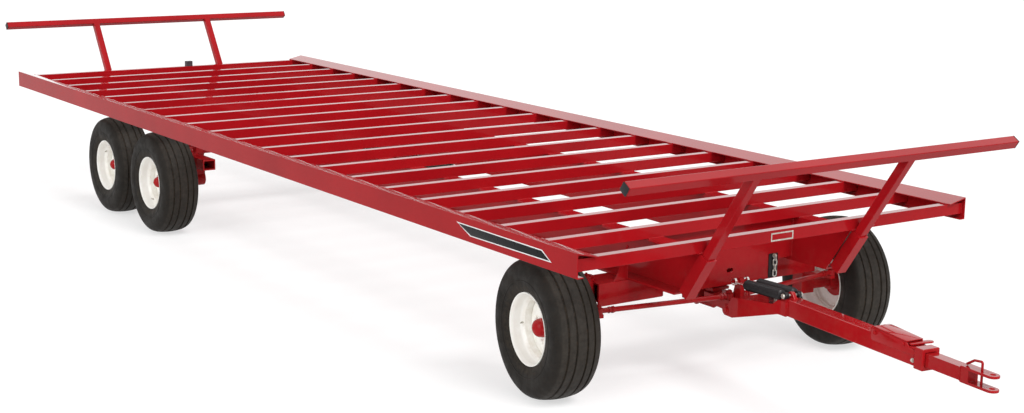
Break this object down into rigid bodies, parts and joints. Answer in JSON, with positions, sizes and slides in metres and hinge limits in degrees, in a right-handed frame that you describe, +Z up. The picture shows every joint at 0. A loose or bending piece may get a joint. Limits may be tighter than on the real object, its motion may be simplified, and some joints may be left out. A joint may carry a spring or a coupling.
{
  "type": "bale wagon",
  "caption": "Bale wagon with an open slatted steel deck, leaning end racks, steered front axle, walking-beam rear wheels and a sprung telescoping tongue.",
  "frame": {"origin": "on the ground under the middle of the wagon's overall length, on its centre line", "axes": "+X towards the tongue, +Y to the wagon's left, +Z up"},
  "size_m": [10.102, 2.743, 1.3613],
  "materials": {
    "red_paint": "gloss red paint",
    "hub_paint": "gloss red paint",
    "rim_paint": "gloss off-white paint",
    "tie_rod_paint": "gloss red paint",
    "black_paint": "satin black paint",
    "bright_steel": "bright drawn bar",
    "tyre": "black ribbed rubber",
    "lamp_housing": "grey housing"
  },
  "bodies": {
    "chassis": {"side_rail_left": "red_paint", "side_rail_right": "red_paint", "crossmembers": "red_paint", "main_beams": "red_paint", "front_rack": "red_paint", "rear_rack": "red_paint", "rack_sockets": "red_paint", "front_axle_beam": "red_paint", "front_bolster": "red_paint", "pivot_bracket": "red_paint", "rear_axle": "red_paint", "rear_lamp": "lamp_housing", "walking_beam_left": "red_paint", "walking_beam_right": "red_paint"},
    "steering_head": {"steering_head": "red_paint"},
    "tongue": {"tongue_yoke": "red_paint", "tongue_tube": "red_paint", "latch": "red_paint", "lift_springs": "black_paint"},
    "spring_rods": {"lift_rods": "bright_steel"},
    "hitch": {"inner_tube": "red_paint", "hitch_clevis": "red_paint", "hitch_handle": "red_paint"},
    "knuckle_left": {"knuckle_left": "red_paint"},
    "tie_rod_left": {"tie_rod_left": "tie_rod_paint"},
    "front_wheel_left": {"front_tyre_left": "tyre", "front_rim_left": "rim_paint", "front_hub_left": "hub_paint"},
    "middle_wheel_left": {"middle_tyre_left": "tyre", "middle_rim_left": "rim_paint", "middle_hub_left": "hub_paint"},
    "rear_wheel_left": {"rear_tyre_left": "tyre", "rear_rim_left": "rim_paint", "rear_hub_left": "hub_paint"},
    "knuckle_right": {"knuckle_right": "red_paint"},
    "tie_rod_right": {"tie_rod_right": "tie_rod_paint"},
    "front_wheel_right": {"front_tyre_right": "tyre", "front_rim_right": "rim_paint", "front_hub_right": "hub_paint"},
    "middle_wheel_right": {"middle_tyre_right": "tyre", "middle_rim_right": "rim_paint", "middle_hub_right": "hub_paint"},
    "rear_wheel_right": {"rear_tyre_right": "tyre", "rear_rim_right": "rim_paint", "rear_hub_right": "hub_paint"}
  },
  "joints": [
    {"name": "head_swivel", "type": "hinge", "parent": "chassis", "child": "steering_head", "pos_m": [2.88522, 0, 0.418], "axis": [0, 0, 1], "range_deg": [-18.4, 31.6]},
    {"name": "tongue_tilt", "type": "hinge", "parent": "steering_head", "child": "tongue", "pos_m": [3.1435, -0.02988, 0.441], "axis": [-0.1149, -0.9934, 0], "range_deg": [-13, 20]},
    {"name": "spring_rod_slide", "type": "slide", "parent": "tongue", "child": "spring_rods", "axis": [0.9916, -0.1147, 0.0594], "range_m": [-0.036, 0.054]},
    {"name": "hitch_slide", "type": "slide", "parent": "tongue", "child": "hitch", "axis": [0.9934, -0.1149, 0], "range_m": [0, 0.25]},
    {"name": "knuckle_left_steer", "type": "hinge", "parent": "chassis", "child": "knuckle_left", "pos_m": [2.76522, 0.8, 0.383], "axis": [0, 0, 1], "range_deg": [-19.4, 32.6]},
    {"name": "tie_rod_left_swing", "type": "hinge", "parent": "steering_head", "child": "tie_rod_left", "pos_m": [3.08849, 0.01675, 0.496], "axis": [0, 0, 1], "range_deg": [-32.6, 19.4]},
    {"name": "front_wheel_left_spin", "type": "hinge", "parent": "knuckle_left", "child": "front_wheel_left", "pos_m": [2.79223, 1.03344, 0.383], "axis": [0.1149, 0.9934, 0], "continuous": true},
    {"name": "middle_wheel_left_spin", "type": "hinge", "parent": "chassis", "child": "middle_wheel_left", "pos_m": [-2.12028, 1.13, 0.383], "axis": [0, 1, 0], "continuous": true},
    {"name": "rear_wheel_left_spin", "type": "hinge", "parent": "chassis", "child": "rear_wheel_left", "pos_m": [-3.00528, 1.13, 0.383], "axis": [0, 1, 0], "continuous": true},
    {"name": "knuckle_right_steer", "type": "hinge", "parent": "chassis", "child": "knuckle_right", "pos_m": [2.76522, -0.8, 0.383], "axis": [0, 0, 1], "range_deg": [-19.4, 32.6]},
    {"name": "tie_rod_right_swing", "type": "hinge", "parent": "steering_head", "child": "tie_rod_right", "pos_m": [3.0793, -0.06272, 0.496], "axis": [0, 0, 1], "range_deg": [-32.6, 19.4]},
    {"name": "front_wheel_right_spin", "type": "hinge", "parent": "knuckle_right", "child": "front_wheel_right", "pos_m": [2.73821, -1.03344, 0.383], "axis": [0.1149, 0.9934, 0], "continuous": true},
    {"name": "middle_wheel_right_spin", "type": "hinge", "parent": "chassis", "child": "middle_wheel_right", "pos_m": [-2.12028, -1.13, 0.383], "axis": [0, 1, 0], "continuous": true},
    {"name": "rear_wheel_right_spin", "type": "hinge", "parent": "chassis", "child": "rear_wheel_right", "pos_m": [-3.00528, -1.13, 0.383], "axis": [0, 1, 0], "continuous": true}
  ],
  "couplings": [
    {"joint": "spring_rod_slide", "follows": "tongue_tilt", "m_per_rad": 0.14422},
    {"joint": "knuckle_left_steer", "follows": "head_swivel", "ratio": 1},
    {"joint": "tie_rod_left_swing", "follows": "head_swivel", "ratio": -1},
    {"joint": "knuckle_right_steer", "follows": "head_swivel", "ratio": 1},
    {"joint": "tie_rod_right_swing", "follows": "head_swivel", "ratio": -1}
  ]
}
